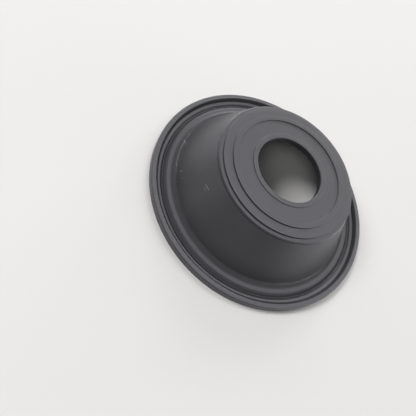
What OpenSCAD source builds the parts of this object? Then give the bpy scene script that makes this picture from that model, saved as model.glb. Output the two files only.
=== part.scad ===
/* [Rim] */
// Outer diameter of the rim
rim_d = 70; // [66:0.5:80]
// Width of the bead at its top, from its outer side to its inner riser
bead_w = 1.5; // [1.2:0.1:2.2]
// Height of the bead above the face that it rests on
bead_h = 2.4; // [2:0.1:3.2]
// Radius of the bead's outer edges
bead_edge_r = 0.35; // [0.15:0.05:0.5]
// How far the riser leans inwards between the bead's top and the clamp flat
riser_run = 0.6; // [0.1:0.05:0.8]
// Radius of the riser's upper edge and of its foot
riser_bend_r = 0.3; // [0.1:0.05:0.5]

/* [Skin] */
// Thickness of the moulded skin, in the flange and in the wall
skin_t = 0.5; // [0.4:0.05:0.65]
// Height of the skin's underside above the rest face, at the clamp flat
skin_lift = 0.65; // [0.6:0.05:0.9]
// Width of the clamp flat, between the riser's foot and the groove
flat_w = 0.7; // [0.6:0.1:1.4]

/* [Convolution] */
// Depth of the groove below the clamp flat, to the point where its two slopes would meet
groove_depth = 0.65; // [0.4:0.05:0.7]
// Steepness of the groove's two slopes, in degrees
groove_slope = 42; // [38:1:50]
// Height of the ledge above the clamp flat
ledge_rise = 0.1; // [0:0.02:0.4]
// Width of the ledge, between the groove's inner edge and the corner of the wall's foot
ledge_w = 2.5; // [2:0.05:3.2]
// Radius of the bend at the groove's outer edge, at the middle of the skin
groove_edge_bend_r = 0.5; // [0.35:0.05:0.8]
// Radius of the bend in the groove's floor, at the middle of the skin
groove_floor_bend_r = 0.45; // [0.4:0.05:0.7]
// Radius of the bend at the ledge's outer edge, at the middle of the skin
ledge_bend_r = 1.2; // [0.6:0.05:1.6]
// Radius of the bend at the foot of the wall, at the middle of the skin
foot_bend_r = 2.2; // [1.4:0.1:2.6]

/* [Crown] */
// Overall height, from the rest face to the top of the clamp ring
height = 16.55; // [12:0.05:22]
// Diameter of the crown
crown_d = 42; // [41:0.2:45]
// Height of the crown's upright edge, from the top of the wall to the shoulder
crown_edge_h = 0.8; // [0.6:0.1:1.2]
// Radius of the crown's upper edge
crown_edge_r = 0.35; // [0.2:0.05:0.5]
// Thickness of the crown's plate at the clamp seat
plate_t = 1.7; // [1.3:0.05:2.5]
// Diameter of the low step on the crown
step_d = 39.5; // [37:0.1:40.5]
// Height of the low step above the crown's shoulder
step_h = 0.45; // [0.2:0.05:0.6]
// Outer diameter of the raised clamp ring
ring_d = 34.3; // [32:0.1:36.5]
// Width of the raised clamp ring
ring_w = 1.45; // [1:0.05:2]
// Height of the clamp ring above the low step
ring_h = 0.4; // [0.25:0.05:0.6]
// Depth of the clamp seat below the ring's top
seat_depth = 0.3; // [0.25:0.05:0.6]

/* [Hole] */
// Diameter of the hole that the slide's hub goes through
hole_d = 19.7; // [16:0.1:24]
// Width of the lip round the hole
lip_w = 1.45; // [0.9:0.05:1.7]
// Height of the lip above the clamp seat
lip_h = 0.2; // [0.1:0.05:0.4]

/* [Edges] */
// Radius of the small edges on the crown's steps
step_edge_r = 0.09; // [0.05:0.01:0.12]
// Radius of the hole's upper and lower edges
hole_edge_r = 0.25; // [0.1:0.05:0.4]
// Radius of the inside corner where the wall meets the crown's plate
plate_corner_r = 0.8; // [0.4:0.1:1.2]

/* [Hidden] */
rubber_black = [0.16, 0.16, 0.165];
turn_steps = 240;
arc_angle = 12;

// Radii of the rim, counted inwards from its outer side
rim_r = rim_d / 2;
riser_top_r = rim_r - bead_w;
riser_foot_r = riser_top_r - riser_run;

// Corners of the convolution along the middle of the skin, from the clamp flat to the wall's foot
groove_edge_r = riser_foot_r - flat_w;
floor_r = groove_edge_r - groove_depth / tan(groove_slope);
ledge_edge_r = floor_r - (groove_depth + ledge_rise) / tan(groove_slope);
foot_r = ledge_edge_r - ledge_w;
flat_z = skin_lift + skin_t / 2;
floor_z = flat_z - groove_depth;
ledge_z = flat_z + ledge_rise;

// Levels of the crown, counted down from the top of the clamp ring
step_z = height - ring_h;
shoulder_z = step_z - step_h;
wall_top_z = shoulder_z - crown_edge_h;
seat_z = height - seat_depth;
lip_z = seat_z + lip_h;
plate_z = seat_z - plate_t;

// Radii of the crown
crown_r = crown_d / 2;
step_r = step_d / 2;
ring_r = ring_d / 2;
hole_r = hole_d / 2;

// The middle of the wall's skin, from its foot to the foot of the crown's upright edge
wall_lean = atan((foot_r - crown_r) / (wall_top_z - ledge_z));
wall_top_r = crown_r - skin_t / 2 / cos(wall_lean);

// Corners of the middle of the skin as [radius, height, bend]
skin_path = [
    [riser_foot_r, flat_z, 0],
    [groove_edge_r, flat_z, groove_edge_bend_r],
    [floor_r, floor_z, groove_floor_bend_r],
    [ledge_edge_r, ledge_z, ledge_bend_r],
    [foot_r, ledge_z, foot_bend_r],
    [wall_top_r, wall_top_z, 0]
];

// Unit vector from one point to another
function way(a, b) = (b - a) / norm(b - a);
// A vector turned by a right angle to its left
function left_of(v) = [-v.y, v.x];
// The place of a corner, without its radius
function place(corner) = [corner[0], corner[1]];
// Angle through which the path turns at p, positive to the left
function turn_at(a, p, b) = asin(way(a, p) * -left_of(way(p, b)));
// Where the line through p along d meets the height z
function at_height(p, d, z) = p + d * (z - p.y) / d.y;

// Corner i of the skin's path, moved by a distance to the left of the path, with its radius there
function beside(i, left) =
    let (
        p = place(skin_path[i]),
        before = way(place(skin_path[i - 1]), p),
        after = way(p, place(skin_path[i + 1])),
        turn = turn_at(p - before, p, p + after)
    )
    concat(
        p + left_of(before + after) / norm(before + after) * left / cos(turn / 2),
        skin_path[i][2] - sign(turn) * left
    );

// The skin's bent corners on one side of its middle
function skin_side(left) = [for (i = [1 : len(skin_path) - 2]) beside(i, left)];

// Corner i of a closed outline, counted round it from either end
function corner_of(corners, i) = corners[(i + len(corners)) % len(corners)];
// Place of that corner
function place_of(corners, i) = place(corner_of(corners, i));
// Length that the rounding of corner i asks from the side on either hand
function setback(corners, i) =
    corner_of(corners, i)[2]
    * tan(abs(turn_at(place_of(corners, i - 1), place_of(corners, i), place_of(corners, i + 1))) / 2);
// Share of the roundings at both ends of side i that fits on it, at most all of them
function side_share(corners, i) =
    min(1, norm(place_of(corners, i + 1) - place_of(corners, i))
        / max(0.001, setback(corners, i) + setback(corners, i + 1)));

// Points of corner i of an outline, rounded to its radius, or to the share of it that fits both sides
function rounded(corners, i) =
    let (
        a = place_of(corners, i - 1),
        p = place_of(corners, i),
        b = place_of(corners, i + 1),
        turn = turn_at(a, p, b),
        r = corner_of(corners, i)[2] * min(side_share(corners, i - 1), side_share(corners, i)),
        start = p - way(a, p) * r * tan(abs(turn) / 2),
        centre = start + left_of(way(a, p)) * sign(turn) * r,
        steps = ceil(abs(turn) / arc_angle)
    )
    r <= 0 ? [p] : [
        for (k = [0 : steps])
            let (bend = turn * k / steps, spoke = start - centre)
            centre + [
                spoke.x * cos(bend) - spoke.y * sin(bend),
                spoke.x * sin(bend) + spoke.y * cos(bend)
            ]
    ];

// A closed outline with each corner rounded
function rounded_outline(corners) = [for (i = [0 : len(corners) - 1]) each rounded(corners, i)];

// Section of the bead, from the rest face over its top to the riser's foot
function bead_corners() = [
    [rim_r, 0, bead_edge_r],
    [rim_r, bead_h, bead_edge_r],
    [riser_top_r, bead_h, riser_bend_r],
    [riser_foot_r, skin_lift + skin_t, riser_bend_r]
];

// Section of the crown's upper side, from the top of the wall to the hole
function crown_corners() = [
    [crown_r, wall_top_z, step_edge_r],
    [crown_r, shoulder_z, crown_edge_r],
    [step_r, shoulder_z, step_edge_r],
    [step_r, step_z, step_edge_r],
    [ring_r, step_z, step_edge_r],
    [ring_r, height, step_edge_r],
    [ring_r - ring_w, height, step_edge_r],
    [ring_r - ring_w, seat_z, step_edge_r],
    [hole_r + lip_w, seat_z, step_edge_r],
    [hole_r + lip_w, lip_z, step_edge_r]
];

// Section of the hole and of the plate's underside, out to the inner face of the wall
function plate_corners() =
    let (
        foot = place(beside(len(skin_path) - 2, skin_t / 2)),
        up = way([foot_r, ledge_z], [wall_top_r, wall_top_z])
    )
    [
        [hole_r, lip_z, hole_edge_r],
        [hole_r, plate_z, hole_edge_r],
        concat(at_height(foot, up, plate_z), plate_corner_r)
    ];

// The underside, from the foot of the wall back to the bead
function underside_corners() =
    let (side = skin_side(skin_t / 2))
    concat(
        [for (i = [len(side) - 1 : -1 : 0]) side[i]],
        [[riser_foot_r, skin_lift, bead_edge_r / 2], [riser_foot_r, 0, bead_edge_r / 2]]
    );

module diaphragm() {
    color(rubber_black)
        rotate_extrude($fn = turn_steps)
            polygon(rounded_outline(concat(
                bead_corners(),
                skin_side(-skin_t / 2),
                crown_corners(),
                plate_corners(),
                underside_corners()
            )));
}

diaphragm();
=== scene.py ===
"""The moulded rubber slide diaphragm of a carburettor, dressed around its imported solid.

One piece of black rubber is spun from its moulded section: a bead round the rim, a thin skin with a
groove and a ledge, a leaning wall, and a stepped crown plate with a hole for the slide's hub.
All named sizes are in millimetres, and meshes are made in metres in the solid's own frame.
"""

import logging
import math
from dataclasses import dataclass, field
from enum import Enum
from typing import Any, Optional, Sequence, Union

import bmesh
import bpy
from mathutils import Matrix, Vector


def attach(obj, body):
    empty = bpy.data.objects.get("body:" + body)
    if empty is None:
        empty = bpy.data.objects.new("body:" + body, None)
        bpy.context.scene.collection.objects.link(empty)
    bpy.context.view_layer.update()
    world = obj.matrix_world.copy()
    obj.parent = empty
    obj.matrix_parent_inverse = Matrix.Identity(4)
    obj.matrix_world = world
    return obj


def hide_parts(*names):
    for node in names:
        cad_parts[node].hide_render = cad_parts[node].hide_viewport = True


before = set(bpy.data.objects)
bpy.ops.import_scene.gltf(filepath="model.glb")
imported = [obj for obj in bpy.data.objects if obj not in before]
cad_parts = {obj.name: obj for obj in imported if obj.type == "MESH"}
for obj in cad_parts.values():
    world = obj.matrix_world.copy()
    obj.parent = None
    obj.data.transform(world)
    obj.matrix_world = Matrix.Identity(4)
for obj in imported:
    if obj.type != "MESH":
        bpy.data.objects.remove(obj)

Colour = tuple[float, float, float]
Point = tuple[float, float, float]
Range = tuple[float, float]
Operand = Union["Value", bpy.types.NodeSocket, float]
Shade = Union[Colour, bpy.types.NodeSocket]
Inputs = Optional[dict[Union[str, int], Any]]
Settings = Optional[dict[str, Any]]

MM = 0.001
PALE: Colour = (0.89, 0.89, 0.875)

# Roundings take no more than this share of a side, and a sum of lengths counts as at least this.
ROOM_SHARE = 0.998
LEAST_LENGTH = 0.001

CIRCULAR_PROFILE = 0.5
NOISE_ROUGHNESS = 0.6

# The sockets of a Mix node that hold its two colours and the mixed one.
MIX_FIRST, MIX_SECOND, MIX_RESULT = 6, 7, 2

log = logging.getLogger("slide_diaphragm")


def way(azimuth: float, elevation: float) -> Vector:
    """The unit vector towards an azimuth and an elevation.

    Args:
        azimuth: The angle round the axis from the X axis, in degrees.
        elevation: The angle above the floor, in degrees.

    Returns:
        The vector.
    """
    round_axis, upwards = math.radians(azimuth), math.radians(elevation)
    level = math.cos(upwards)
    return Vector((math.cos(round_axis) * level, math.sin(round_axis) * level, math.sin(upwards)))


def put(name: str, data: bpy.types.ID) -> bpy.types.Object:
    """Puts an object with this data into the scene."""
    made = bpy.data.objects.new(name, data)
    bpy.context.scene.collection.objects.link(made)
    return made


def put_mesh(name: str, mesh: bmesh.types.BMesh) -> bpy.types.Object:
    """Puts a finished mesh into the scene as an object, and frees the working mesh.

    Args:
        name: The object's name.
        mesh: The working mesh.

    Returns:
        The object, at the origin.
    """
    data = bpy.data.meshes.new(name)
    mesh.to_mesh(data)
    mesh.free()
    return put(name, data)


class Side(Enum):
    """A face of the moulded skin, as a share of its thickness to the left of its middle."""

    UPPER = -0.5
    UNDER = 0.5


@dataclass(frozen=True)
class Corner:
    """One corner of the moulded section, with the radius of its rounding."""

    radius: float
    height: float
    bend: float = 0.0

    @property
    def place(self) -> Vector:
        """Where the corner is in the section, as radius and height."""
        return Vector((self.radius, self.height))

    def ways(self, before: "Corner", after: "Corner") -> tuple[Vector, Vector]:
        """Directions in which an outline reaches and leaves this corner.

        Args:
            before: The corner that the outline comes from.
            after: The corner that it goes on to.

        Returns:
            The two unit vectors.
        """
        return (self.place - before.place).normalized(), (after.place - self.place).normalized()

    def turn(self, before: "Corner", after: "Corner") -> float:
        """Angle through which an outline turns at this corner.

        Args:
            before: The corner that the outline comes from.
            after: The corner that it goes on to.

        Returns:
            The angle in radians, positive where the outline turns to its left.
        """
        reach, leave = self.ways(before, after)
        return math.atan2(reach.x * leave.y - reach.y * leave.x, reach.dot(leave))

    def setback(self, before: "Corner", after: "Corner") -> float:
        """Length that the rounding asks from the side on either hand.

        Args:
            before: The corner that the outline comes from.
            after: The corner that it goes on to.

        Returns:
            The length in millimetres.
        """
        return self.bend * math.tan(abs(self.turn(before, after)) / 2)


@dataclass
class Outline:
    """A closed outline of corners, each rounded as far as its two sides have room."""

    corners: list[Corner]

    def corner(self, index: int) -> Corner:
        """The corner at an index, counted round the outline from either end."""
        return self.corners[index % len(self.corners)]

    def asked(self, index: int) -> float:
        """Length that a corner's whole rounding asks from either side, in millimetres."""
        return self.corner(index).setback(self.corner(index - 1), self.corner(index + 1))

    def share(self, index: int) -> float:
        """Share of the roundings at both ends of the side after a corner that fits on it."""
        side = (self.corner(index + 1).place - self.corner(index).place).length
        asked = self.asked(index) + self.asked(index + 1)
        return min(1.0, ROOM_SHARE * side / max(LEAST_LENGTH, asked))

    def setback(self, index: int) -> float:
        """Length that a corner's rounding takes from either side, in millimetres."""
        return self.asked(index) * min(self.share(index - 1), self.share(index))

    def turn(self, index: int) -> float:
        """Angle through which the outline turns at a corner, in degrees."""
        before, after = self.corner(index - 1), self.corner(index + 1)
        return math.degrees(abs(self.corner(index).turn(before, after)))


@dataclass
class Rim:
    """The bead round the rim, which a groove in the carburettor body takes."""

    outer: float = 35.0
    width: float = 1.5
    height: float = 2.4
    edge_bend: float = 0.35
    riser_run: float = 0.6
    riser_bend: float = 0.3

    @property
    def riser_top(self) -> float:
        """Radius of the inner edge of the bead's top."""
        return self.outer - self.width

    @property
    def riser_foot(self) -> float:
        """Radius at which the bead's inner riser meets the skin."""
        return self.riser_top - self.riser_run

    def upper_corners(self, skin_top: float) -> list[Corner]:
        """Corners from the rest face, over the bead's top, to the riser's foot.

        Args:
            skin_top: Height of the skin's upper face beside the bead.

        Returns:
            The corners, outermost first.
        """
        return [
            Corner(self.outer, 0.0, self.edge_bend),
            Corner(self.outer, self.height, self.edge_bend),
            Corner(self.riser_top, self.height, self.riser_bend),
            Corner(self.riser_foot, skin_top, self.riser_bend),
        ]

    def under_corners(self, skin_under: float) -> list[Corner]:
        """Corners from the skin's underside down to the rest face.

        Args:
            skin_under: Height of the skin's underside beside the bead.

        Returns:
            The corners, from the skin downwards.
        """
        return [
            Corner(self.riser_foot, skin_under, self.edge_bend / 2),
            Corner(self.riser_foot, 0.0, self.edge_bend / 2),
        ]


@dataclass
class Crown:
    """The crown plate: its edge, a low step, the raised clamp ring, the clamp seat and the lip."""

    height: float = 16.55
    radius: float = 21.0
    edge_height: float = 0.8
    edge_bend: float = 0.35
    plate: float = 1.7
    step_radius: float = 19.75
    step_height: float = 0.45
    ring_radius: float = 17.15
    ring_width: float = 1.45
    ring_height: float = 0.4
    seat_depth: float = 0.3
    hole_radius: float = 9.85
    lip_width: float = 1.45
    lip_height: float = 0.2
    fine_bend: float = 0.09
    hole_bend: float = 0.25
    inner_bend: float = 0.8

    @property
    def step_level(self) -> float:
        """Height of the low step's top."""
        return self.height - self.ring_height

    @property
    def shoulder_level(self) -> float:
        """Height of the outer shoulder."""
        return self.step_level - self.step_height

    @property
    def wall_top_level(self) -> float:
        """Height of the foot of the upright edge, where the wall starts."""
        return self.shoulder_level - self.edge_height

    @property
    def seat_level(self) -> float:
        """Height of the clamp seat."""
        return self.height - self.seat_depth

    @property
    def lip_level(self) -> float:
        """Height of the lip's top."""
        return self.seat_level + self.lip_height

    @property
    def plate_level(self) -> float:
        """Height of the plate's underside."""
        return self.seat_level - self.plate

    def upper_corners(self) -> list[Corner]:
        """Corners from the wall's top, over the steps and down the hole to the plate's underside.

        Returns:
            The corners, outermost first.
        """
        fine = self.fine_bend
        ring_inner = self.ring_radius - self.ring_width
        lip_outer = self.hole_radius + self.lip_width
        return [
            Corner(self.radius, self.wall_top_level, fine),
            Corner(self.radius, self.shoulder_level, self.edge_bend),
            Corner(self.step_radius, self.shoulder_level, fine),
            Corner(self.step_radius, self.step_level, fine),
            Corner(self.ring_radius, self.step_level, fine),
            Corner(self.ring_radius, self.height, fine),
            Corner(ring_inner, self.height, fine),
            Corner(ring_inner, self.seat_level, fine),
            Corner(lip_outer, self.seat_level, fine),
            Corner(lip_outer, self.lip_level, fine),
            Corner(self.hole_radius, self.lip_level, self.hole_bend),
            Corner(self.hole_radius, self.plate_level, self.hole_bend),
        ]


@dataclass
class Skin:
    """The thin skin between rim and crown: clamp flat, groove, ledge, foot and wall."""

    thickness: float = 0.5
    lift: float = 0.65
    flat_width: float = 0.7
    groove_depth: float = 0.65
    groove_slope: float = 42.0
    ledge_rise: float = 0.1
    ledge_width: float = 2.5
    groove_edge_bend: float = 0.5
    groove_floor_bend: float = 0.45
    ledge_bend: float = 1.2
    foot_bend: float = 2.2

    @property
    def top(self) -> float:
        """Height of the clamp flat."""
        return self.lift + self.thickness

    def middle(self, rim: Rim, crown: Crown) -> list[Corner]:
        """The path of the skin's middle, from the riser's foot to the top of the wall.

        Args:
            rim: The bead that the skin starts at.
            crown: The crown that the wall ends at.

        Returns:
            The path's corners, outermost first.
        """
        flat = self.lift + self.thickness / 2
        floor = flat - self.groove_depth
        ledge = flat + self.ledge_rise
        slope = math.tan(math.radians(self.groove_slope))
        groove_edge = rim.riser_foot - self.flat_width
        valley = groove_edge - self.groove_depth / slope
        ledge_edge = valley - (self.groove_depth + self.ledge_rise) / slope
        foot = ledge_edge - self.ledge_width
        lean = math.atan2(foot - crown.radius, crown.wall_top_level - ledge)
        return [
            Corner(rim.riser_foot, flat),
            Corner(groove_edge, flat, self.groove_edge_bend),
            Corner(valley, floor, self.groove_floor_bend),
            Corner(ledge_edge, ledge, self.ledge_bend),
            Corner(foot, ledge, self.foot_bend),
            Corner(crown.radius - self.thickness / 2 / math.cos(lean), crown.wall_top_level),
        ]

    def face(self, path: Sequence[Corner], side: Side) -> list[Corner]:
        """The bent corners of one face of the skin.

        Args:
            path: The path of the skin's middle.
            side: The face that is wanted.

        Returns:
            One corner for each bent corner of the path.
        """
        left = side.value * self.thickness
        corners = []
        for before, corner, after in zip(path, path[1:], path[2:]):
            reach, leave = corner.ways(before, after)
            along = (reach + leave).normalized()
            turn = corner.turn(before, after)
            place = corner.place + Vector((-along.y, along.x)) * (left / math.cos(turn / 2))
            corners.append(Corner(place.x, place.y, corner.bend - math.copysign(1.0, turn) * left))
        return corners


class Value:
    """A number that varies over the surface, so that shader maths can be written as Python."""

    def __init__(self, bench: "Bench", socket: bpy.types.NodeSocket) -> None:
        """Wraps one output socket of a node on the bench."""
        self.bench = bench
        self.socket = socket

    def join(self, operation: str, first: Operand, second: Operand) -> "Value":
        """Adds a Math node for two numbers or values.

        Args:
            operation: The Math node's operation.
            first: Its first operand.
            second: Its second operand.

        Returns:
            The node's result.
        """
        node = self.bench.add("ShaderNodeMath", {"operation": operation}, {0: first, 1: second})
        return Value(self.bench, node.outputs[0])

    def __add__(self, other: Operand) -> "Value":
        """Sum of this and another number."""
        return self.join("ADD", self, other)

    def __radd__(self, other: Operand) -> "Value":
        """Sum of a number and this."""
        return self.join("ADD", other, self)

    def __sub__(self, other: Operand) -> "Value":
        """This, less another number."""
        return self.join("SUBTRACT", self, other)

    def __rsub__(self, other: Operand) -> "Value":
        """A number, less this."""
        return self.join("SUBTRACT", other, self)

    def __mul__(self, other: Operand) -> "Value":
        """Product of this and another number."""
        return self.join("MULTIPLY", self, other)

    def __rmul__(self, other: Operand) -> "Value":
        """Product of a number and this."""
        return self.join("MULTIPLY", other, self)

    def __truediv__(self, other: Operand) -> "Value":
        """This, divided by another number."""
        return self.join("DIVIDE", self, other)

    def __rtruediv__(self, other: Operand) -> "Value":
        """A number, divided by this."""
        return self.join("DIVIDE", other, self)

    def __pow__(self, other: Operand) -> "Value":
        """This, raised to a power."""
        return self.join("POWER", self, other)

    def highest(self, other: Operand) -> "Value":
        """The higher of this and another number."""
        return self.join("MAXIMUM", self, other)

    def fade(self, start: float, end: float) -> "Value":
        """A smooth change of this from one bound to the other.

        Args:
            start: The value at which the result is 0.
            end: The value at which the result is 1, which may be the lower one.

        Returns:
            A value from 0 to 1.
        """
        rising = start < end
        node = self.bench.add(
            "ShaderNodeMapRange",
            {"interpolation_type": "SMOOTHSTEP"},
            {
                "Value": self,
                "From Min": min(start, end),
                "From Max": max(start, end),
                "To Min": 0.0 if rising else 1.0,
                "To Max": 1.0 if rising else 0.0,
            },
        )
        return Value(self.bench, node.outputs[0])


class Bench:
    """Where the nodes of one material, or of the world, are added and linked."""

    def __init__(self, tree: bpy.types.NodeTree) -> None:
        """Starts from an empty tree."""
        self.tree = tree
        tree.nodes.clear()

    def add(self, kind: str, settings: Settings = None, inputs: Inputs = None) -> bpy.types.Node:
        """Adds a node, with its settings first and then its sockets.

        Args:
            kind: The node's type.
            settings: Its properties.
            inputs: A number, a vector, a socket or a Value for each socket that is set.

        Returns:
            The node.
        """
        node = self.tree.nodes.new(kind)
        for name, setting in (settings or {}).items():
            setattr(node, name, setting)
        for key, given in (inputs or {}).items():
            socket = node.inputs[key]
            if isinstance(given, Value):
                self.tree.links.new(given.socket, socket)
            elif isinstance(given, bpy.types.NodeSocket):
                self.tree.links.new(given, socket)
            else:
                socket.default_value = given
        return node

    def value(
        self,
        kind: str,
        settings: Settings = None,
        inputs: Inputs = None,
        output: Union[str, int] = 0,
    ) -> Value:
        """Adds a node as add does, and gives one of its outputs.

        Args:
            kind: The node's type.
            settings: Its properties.
            inputs: Its sockets' values or links.
            output: The output that is wanted.

        Returns:
            The output as a Value.
        """
        return Value(self, self.add(kind, settings, inputs).outputs[output])

    def vector(
        self,
        operation: str,
        first: bpy.types.NodeSocket,
        second: Optional[Vector] = None,
        output: str = "Vector",
    ) -> Value:
        """Adds a Vector Math node.

        Args:
            operation: The node's operation.
            first: Its first operand.
            second: Its second operand, where the operation takes two.
            output: The output that is wanted.

        Returns:
            The output as a Value.
        """
        inputs = {0: first} if second is None else {0: first, 1: second}
        return self.value("ShaderNodeVectorMath", {"operation": operation}, inputs, output)

    def noise(self, place: bpy.types.NodeSocket, size: float, detail: float) -> Value:
        """Adds a noise texture.

        Args:
            place: The place on the surface, in millimetres.
            size: The length of one lump of the noise, in millimetres.
            detail: How many finer layers it has.

        Returns:
            The noise, from 0 to 1.
        """
        inputs = {
            "Vector": place,
            "Scale": 1 / size,
            "Detail": detail,
            "Roughness": NOISE_ROUGHNESS,
        }
        return self.value("ShaderNodeTexNoise", None, inputs)

    def blend(self, share: Operand, first: Shade, second: Shade) -> bpy.types.NodeSocket:
        """Mixes two colours.

        Args:
            share: How much of the second colour shows, from 0 to 1.
            first: A colour, or a colour socket.
            second: A colour, or a colour socket.

        Returns:
            The mixed colour's socket.
        """
        inputs = {0: share, MIX_FIRST: opaque(first), MIX_SECOND: opaque(second)}
        return self.add("ShaderNodeMix", {"data_type": "RGBA"}, inputs).outputs[MIX_RESULT]

    def surface(self, shader: bpy.types.Node, output: str = "ShaderNodeOutputMaterial") -> None:
        """Ends the tree with a shader, in a material's or the world's output node."""
        self.add(output, None, {"Surface": shader.outputs[0]})


def opaque(colour: Shade) -> Union[tuple[float, ...], bpy.types.NodeSocket]:
    """A colour with full alpha, or the socket that was given."""
    return (*colour, 1.0) if isinstance(colour, tuple) else colour


@dataclass(frozen=True)
class Scuff:
    """A short pale rub mark on the rubber, between two points in millimetres."""

    start: Point
    end: Point
    width: float
    strength: float
    full_length: float = 0.6
    full_width: float = 1 / 3

    def cover(self, bench: Bench, place: bpy.types.NodeSocket) -> Value:
        """How much of each place on the surface the mark covers.

        Args:
            bench: Where the nodes are added.
            place: The place on the surface, in millimetres.

        Returns:
            A value from 0 to the mark's strength.
        """
        start, end = Vector(self.start), Vector(self.end)
        half = (end - start).length / 2
        apart = bench.vector("SUBTRACT", place, (start + end) / 2).socket
        along = bench.vector("DOT_PRODUCT", apart, (end - start).normalized(), "Value") ** 2
        across = bench.vector("LENGTH", apart, output="Value") ** 2 - along
        edge = self.width / 2
        ends = along.fade(half**2, (self.full_length * half) ** 2)
        return ends * across.fade(edge**2, (self.full_width * edge) ** 2) * self.strength


@dataclass(frozen=True)
class RubberFinish:
    """Satin black moulded rubber, with bloom, grain, turned rings, dust and rub marks.

    Lengths are in millimetres. A range holds the values of a noise, or of the distance from a
    speck's middle, between which a trait grows from nothing to full.
    """

    slot: str = "rubber_black"
    colour: Colour = (0.0150, 0.0150, 0.0164)
    bloom_colour: Colour = (0.0215, 0.0215, 0.0232)
    worn_colour: Colour = (0.16, 0.16, 0.165)
    dust_colour: Colour = (0.30, 0.30, 0.30)
    sheen_tint: Colour = (0.925, 0.910, 1.0)
    reflectance: float = 0.53
    roughness: float = 0.40
    cloud_size: float = 9.0
    cloud_detail: float = 4.0
    cloud_roughness: float = 0.08
    bloom_range: Range = (0.35, 0.75)
    bloom_share: float = 0.6
    grain_size: float = 0.22
    grain_detail: float = 2.0
    grain_depth: float = 0.018
    grain_roughness: float = 0.06
    bump_strength: float = 0.6
    turned_levels: Range = (15.45, 15.6)
    turned_spacing: float = 0.35
    turned_detail: float = 2.0
    turned_depth: float = 0.016
    turned_roughness: float = 0.06
    clamped_radii: Range = (31.9, 32.4)
    clamped_share: float = 0.10
    dust_spacing: float = 1.7
    dust_range: Range = (0.055, 0.02)
    dust_chance: Range = (0.80, 0.95)
    dust_share: float = 0.45
    worn_range: Range = (0.3, 0.6)
    worn_roughness: float = 0.3
    scuffs: tuple[Scuff, ...] = (
        Scuff((-11.50, -20.38, 10.41), (-9.42, -21.12, 10.93), 0.50, 0.50),
        Scuff((-11.18, -21.01, 9.65), (-9.82, -21.38, 10.16), 0.40, 0.28),
        Scuff((-26.84, -9.52, 1.55), (-25.45, -10.79, 2.47), 0.60, 0.50),
        Scuff((-25.38, -10.70, 2.66), (-24.56, -11.35, 3.58), 0.55, 0.42),
        Scuff((-22.05, -17.58, 1.75), (-21.38, -17.53, 2.47), 0.60, 0.50),
        Scuff((-19.40, -19.00, 3.39), (-18.66, -18.97, 4.40), 0.55, 0.45),
        Scuff((-17.59, -20.29, 3.96), (-17.06, -20.50, 4.29), 0.50, 0.42),
    )

    def material(self) -> bpy.types.Material:
        """Makes the rubber's material.

        Returns:
            The material.
        """
        made = bpy.data.materials.new(self.slot)
        made.use_nodes = True
        bench = Bench(made.node_tree)
        position = bench.add("ShaderNodeTexCoord").outputs["Object"]
        place = bench.add(
            "ShaderNodeVectorMath", {"operation": "SCALE"}, {0: position, "Scale": 1 / MM}
        ).outputs[0]
        cloud = bench.noise(place, self.cloud_size, self.cloud_detail)
        grain = bench.noise(place, self.grain_size, self.grain_detail)
        flat = bench.vector("MULTIPLY", place, Vector((1.0, 1.0, 0.0))).socket
        radius = bench.vector("LENGTH", flat, output="Value")
        turned = self.turned(bench, place, radius)
        worn = self.worn(bench, place) * grain.fade(*self.worn_range)
        dust = self.dust(bench, place) * self.dust_share
        bloom = cloud.fade(*self.bloom_range) * self.bloom_share
        clamped = radius.fade(*self.clamped_radii) * (cloud + 0.5) * self.clamped_share
        colour = bench.blend(bloom, self.colour, self.bloom_colour)
        colour = bench.blend(clamped, colour, self.worn_colour)
        colour = bench.blend(worn, colour, self.worn_colour)
        colour = bench.blend(dust, colour, self.dust_colour)
        roughness = self.roughness + (cloud - 0.5) * self.cloud_roughness
        roughness = roughness + (grain - 0.5) * self.grain_roughness
        roughness = roughness + turned * self.turned_roughness + worn * self.worn_roughness
        height = grain * (self.grain_depth * MM) + turned * (self.turned_depth * MM)
        bump = bench.add(
            "ShaderNodeBump",
            None,
            {"Height": height, "Strength": self.bump_strength, "Distance": 1.0},
        )
        shader = bench.add(
            "ShaderNodeBsdfPrincipled",
            None,
            {
                "Base Color": colour,
                "Roughness": roughness,
                "Specular IOR Level": self.reflectance,
                "Specular Tint": opaque(self.sheen_tint),
                "Normal": bump.outputs[0],
            },
        )
        bench.surface(shader)
        return made

    def turned(self, bench: Bench, place: bpy.types.NodeSocket, radius: Value) -> Value:
        """Faint rings that the turned mould left on the crown's flats.

        Args:
            bench: Where the nodes are added.
            place: The place on the surface, in millimetres.
            radius: The place's distance from the axis, in millimetres.

        Returns:
            A value around 0, and 0 away from the crown.
        """
        height = bench.vector("DOT_PRODUCT", place, Vector((0.0, 0.0, 1.0)), "Value")
        rings = bench.value(
            "ShaderNodeTexNoise",
            {"noise_dimensions": "1D"},
            {
                "W": radius / self.turned_spacing,
                "Scale": 1.0,
                "Detail": self.turned_detail,
                "Roughness": NOISE_ROUGHNESS,
            },
        )
        return (rings - 0.5) * height.fade(*self.turned_levels)

    def worn(self, bench: Bench, place: bpy.types.NodeSocket) -> Value:
        """All the rub marks together.

        Args:
            bench: Where the nodes are added.
            place: The place on the surface, in millimetres.

        Returns:
            A value from 0 to 1.
        """
        marks = [scuff.cover(bench, place) for scuff in self.scuffs]
        return sum(marks[1:], marks[0])

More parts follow.
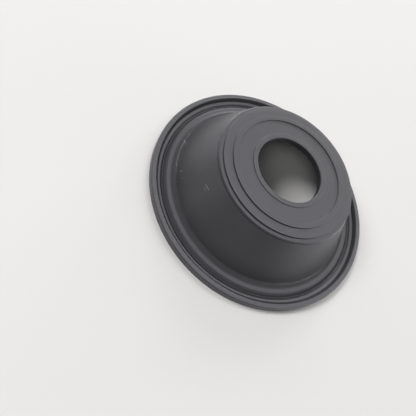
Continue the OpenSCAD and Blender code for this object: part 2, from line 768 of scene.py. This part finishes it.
    def dust(self, bench: Bench, place: bpy.types.NodeSocket) -> Value:
        """Sparse specks of dust.

        Args:
            bench: Where the nodes are added.
            place: The place on the surface, in millimetres.

        Returns:
            A value from 0 to 1.
        """
        cells = bench.add(
            "ShaderNodeTexVoronoi",
            {"feature": "F1"},
            {"Vector": place, "Scale": 1 / self.dust_spacing},
        )
        chance = bench.value("ShaderNodeSeparateColor", None, {0: cells.outputs["Color"]})
        speck = Value(bench, cells.outputs["Distance"]).fade(*self.dust_range)
        return speck * chance.fade(*self.dust_chance)


@dataclass
class Diaphragm:
    """The whole moulded diaphragm, spun from one section with its arcs and sides divided."""

    rim: Rim = field(default_factory=Rim)
    skin: Skin = field(default_factory=Skin)
    crown: Crown = field(default_factory=Crown)
    finish: RubberFinish = field(default_factory=RubberFinish)
    node: str = "diaphragm"
    name: str = "moulded_diaphragm"
    turn_steps: int = 300
    arc_angle: float = 11.0
    fewest_arc_sides: int = 2
    longest_side: float = 1.4
    shading_weight: int = 60

    def section(self) -> Outline:
        """The moulded section, from the rest face's outer edge over the top and back underneath.

        Returns:
            The section's closed outline.
        """
        path = self.skin.middle(self.rim, self.crown)
        under = self.skin.face(path, Side.UNDER)
        foot, wall_way = under[-1].place, path[-1].place - path[-2].place
        level = self.crown.plate_level
        inner = foot + wall_way * ((level - foot.y) / wall_way.y)
        return Outline(
            [
                *self.rim.upper_corners(self.skin.top),
                *self.skin.face(path, Side.UPPER),
                *self.crown.upper_corners(),
                Corner(inner.x, level, self.crown.inner_bend),
                *reversed(under),
                *self.rim.under_corners(self.skin.lift),
            ]
        )

    def outline(self, mesh: bmesh.types.BMesh) -> list[bmesh.types.BMEdge]:
        """Draws the section with its corners rounded and its long sides divided.

        Args:
            mesh: The mesh to draw it in.

        Returns:
            The outline's edges.
        """
        section = self.section()
        points = [mesh.verts.new((c.radius * MM, 0.0, c.height * MM)) for c in section.corners]
        mesh.faces.new(points)
        for index, point in enumerate(points):
            bmesh.ops.bevel(
                mesh,
                geom=[point],
                offset=section.setback(index) * MM,
                offset_type="OFFSET",
                segments=max(
                    self.fewest_arc_sides, math.ceil(section.turn(index) / self.arc_angle)
                ),
                profile=CIRCULAR_PROFILE,
                affect="VERTICES",
                material=-1,
            )
        bmesh.ops.delete(mesh, geom=mesh.faces[:], context="FACES_ONLY")
        for edge in list(mesh.edges):
            cuts = math.ceil(edge.calc_length() / (self.longest_side * MM)) - 1
            if cuts > 0:
                bmesh.ops.subdivide_edges(mesh, edges=[edge], cuts=cuts)
        return mesh.edges[:]

    def build(self) -> bpy.types.Object:
        """Spins the section into the closed piece.

        Returns:
            The piece, at the origin.
        """
        mesh = bmesh.new()
        edges = self.outline(mesh)
        bmesh.ops.spin(
            mesh,
            geom=edges,
            cent=(0.0, 0.0, 0.0),
            axis=(0.0, 0.0, 1.0),
            angle=math.tau,
            steps=self.turn_steps,
            use_merge=True,
        )
        bmesh.ops.recalc_face_normals(mesh, faces=mesh.faces[:])
        for face in mesh.faces:
            face.smooth = True
        piece = put_mesh(self.name, mesh)
        weighted = piece.modifiers.new("even_shading", "WEIGHTED_NORMAL")
        weighted.mode = "FACE_AREA"
        weighted.weight = self.shading_weight
        return piece

    def dress(self, piece: bpy.types.Object) -> None:
        """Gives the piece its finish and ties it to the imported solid."""
        piece.data.materials.append(self.finish.material())
        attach(piece, "root")
        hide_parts(self.node)


@dataclass
class Floor:
    """The plain pale floor that the diaphragm rests on, which fades into the background."""

    name: str = "floor"
    radius: float = 700.0
    clear_radius: float = 180.0
    faded_radius: float = 450.0
    turn_steps: int = 96
    colour: Colour = (0.612, 0.604, 0.598)
    roughness: float = 0.9
    reflectance: float = 0.1

    def build(self) -> bpy.types.Object:
        """Makes the floor.

        Returns:
            The floor.
        """
        mesh = bmesh.new()
        bmesh.ops.create_circle(
            mesh, cap_ends=True, segments=self.turn_steps, radius=self.radius * MM
        )
        floor = put_mesh(self.name, mesh)
        floor.data.materials.append(self.material())
        return floor

    def material(self) -> bpy.types.Material:
        """Makes the floor's material, plain near the piece and the background's tone far from it.

        Returns:
            The material.
        """
        made = bpy.data.materials.new(self.name)
        made.use_nodes = True
        bench = Bench(made.node_tree)
        place = bench.add("ShaderNodeTexCoord").outputs["Object"]
        seen = bench.value("ShaderNodeLightPath", output="Is Camera Ray")
        away = bench.vector("LENGTH", place, output="Value")
        far = away.fade(self.clear_radius * MM, self.faded_radius * MM) * seen
        near = bench.add(
            "ShaderNodeBsdfPrincipled",
            None,
            {
                "Base Color": opaque(self.colour),
                "Roughness": self.roughness,
                "Specular IOR Level": self.reflectance,
            },
        )
        backdrop = bench.add("ShaderNodeEmission", None, {"Color": opaque(PALE), "Strength": 1.0})
        shader = bench.add(
            "ShaderNodeMixShader", None, {0: far, 1: near.outputs[0], 2: backdrop.outputs[0]}
        )
        bench.surface(shader)
        return made


@dataclass(frozen=True)
class Softbox:
    """A flat soft lamp that points at the diaphragm, seen in reflections unless it is a bounce."""

    name: str
    azimuth: float
    elevation: float
    width: float
    height: float
    glow: float
    distance: float = 1500.0
    reflected: bool = True

    def hang(self, target: Vector) -> bpy.types.Object:
        """Puts the lamp up.

        Args:
            target: The point that it faces, in metres.

        Returns:
            The lamp.
        """
        away = way(self.azimuth, self.elevation)
        data = bpy.data.lights.new(self.name, "AREA")
        data.shape = "RECTANGLE"
        data.size, data.size_y = self.width * MM, self.height * MM
        data.energy = self.glow * math.pi * data.size * data.size_y
        lamp = put(self.name, data)
        lamp.location = target + away * (self.distance * MM)
        lamp.rotation_mode = "QUATERNION"
        lamp.rotation_quaternion = (-away).to_track_quat("-Z", "Y")
        lamp.visible_camera = False
        lamp.visible_glossy = self.reflected
        return lamp


@dataclass
class Studio:
    """The soft lamps and the plain surroundings."""

    softboxes: tuple[Softbox, ...] = (
        Softbox("right_strip", 0.0, 3.5, 620.0, 168.0, 8.6),
        Softbox("right_far_strip", 22.5, 3.5, 620.0, 168.0, 16.0),
        Softbox("back_right_strip", 45.0, 3.5, 620.0, 168.0, 16.0),
        Softbox("back_left_strip", 135.0, 3.5, 620.0, 168.0, 16.0),
        Softbox("left_far_strip", 157.5, 3.5, 620.0, 168.0, 16.0),
        Softbox("left_strip", 180.0, 3.5, 620.0, 168.0, 11.7),
        Softbox("front_left_strip", 225.0, 3.5, 620.0, 168.0, 2.8),
        Softbox("back_strip", 90.0, 11.0, 600.0, 220.0, 16.0),
        Softbox("back_softbox", 120.0, 25.0, 650.0, 500.0, 6.1),
        Softbox("right_softbox", 60.0, 44.0, 650.0, 530.0, 2.7),
        Softbox("top_softbox", 95.0, 64.0, 620.0, 530.0, 5.5),
        Softbox("left_bounce", 210.0, 44.0, 578.0, 530.0, 19.8, reflected=False),
        Softbox("front_bounce", 270.0, 44.0, 578.0, 530.0, 4.2, reflected=False),
    )
    fill: float = 0.15

    def light(self, target: Vector) -> None:
        """Hangs the softboxes and sets the surroundings.

        Args:
            target: The point that the softboxes face, in metres.
        """
        for softbox in self.softboxes:
            softbox.hang(target)
        world = bpy.data.worlds.new("surroundings")
        world.use_nodes = True
        bpy.context.scene.world = world
        bench = Bench(world.node_tree)
        rays = bench.add("ShaderNodeLightPath").outputs
        seen = Value(bench, rays["Is Camera Ray"]).highest(rays["Is Glossy Ray"])
        seen = seen.highest(rays["Is Transmission Ray"])
        colour = bench.blend(seen, (self.fill, self.fill, self.fill), PALE)
        background = bench.add("ShaderNodeBackground", None, {"Color": colour, "Strength": 1.0})
        bench.surface(background, "ShaderNodeOutputWorld")


@dataclass
class Viewpoint:
    """The camera, where the photograph's was over the rim, with its three angles in degrees."""

    distance: float = 127.2
    azimuth: float = -90.0
    elevation: float = 49.59
    rim_level: float = 1.98
    angles: Point = (25.257, -22.571, 45.196)
    lens: float = 36.35
    sensor: float = 36.0
    clip_start: float = 5.0
    clip_end: float = 10000.0

    def set_up(self) -> bpy.types.Object:
        """Makes the scene's camera.

        Returns:
            The camera.
        """
        data = bpy.data.cameras.new("camera")
        data.lens = self.lens
        data.sensor_width = self.sensor
        data.clip_start, data.clip_end = self.clip_start * MM, self.clip_end * MM
        camera = put("camera", data)
        rim = Vector((0.0, 0.0, self.rim_level))
        camera.location = (rim + way(self.azimuth, self.elevation) * self.distance) * MM
        camera.rotation_euler = tuple(math.radians(angle) for angle in self.angles)
        bpy.context.scene.camera = camera
        return camera


def main() -> None:
    """Builds the diaphragm, the floor, the lamps and the camera."""
    logging.basicConfig(level=logging.INFO, format="%(name)s: %(message)s")
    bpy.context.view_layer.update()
    diaphragm = Diaphragm()
    piece = diaphragm.build()
    diaphragm.dress(piece)
    log.info("%s has %d faces", piece.name, len(piece.data.polygons))
    floor = Floor().build()
    log.info("%s is %.1f m wide", floor.name, floor.dimensions.x)
    Studio().light(Vector((0.0, 0.0, diaphragm.crown.height * MM / 2)))
    camera = Viewpoint().set_up()
    log.info("camera is %.1f mm from the origin", camera.location.length / MM)
    bpy.context.scene.view_settings.view_transform = "Standard"


if __name__ == "__main__":
    main()
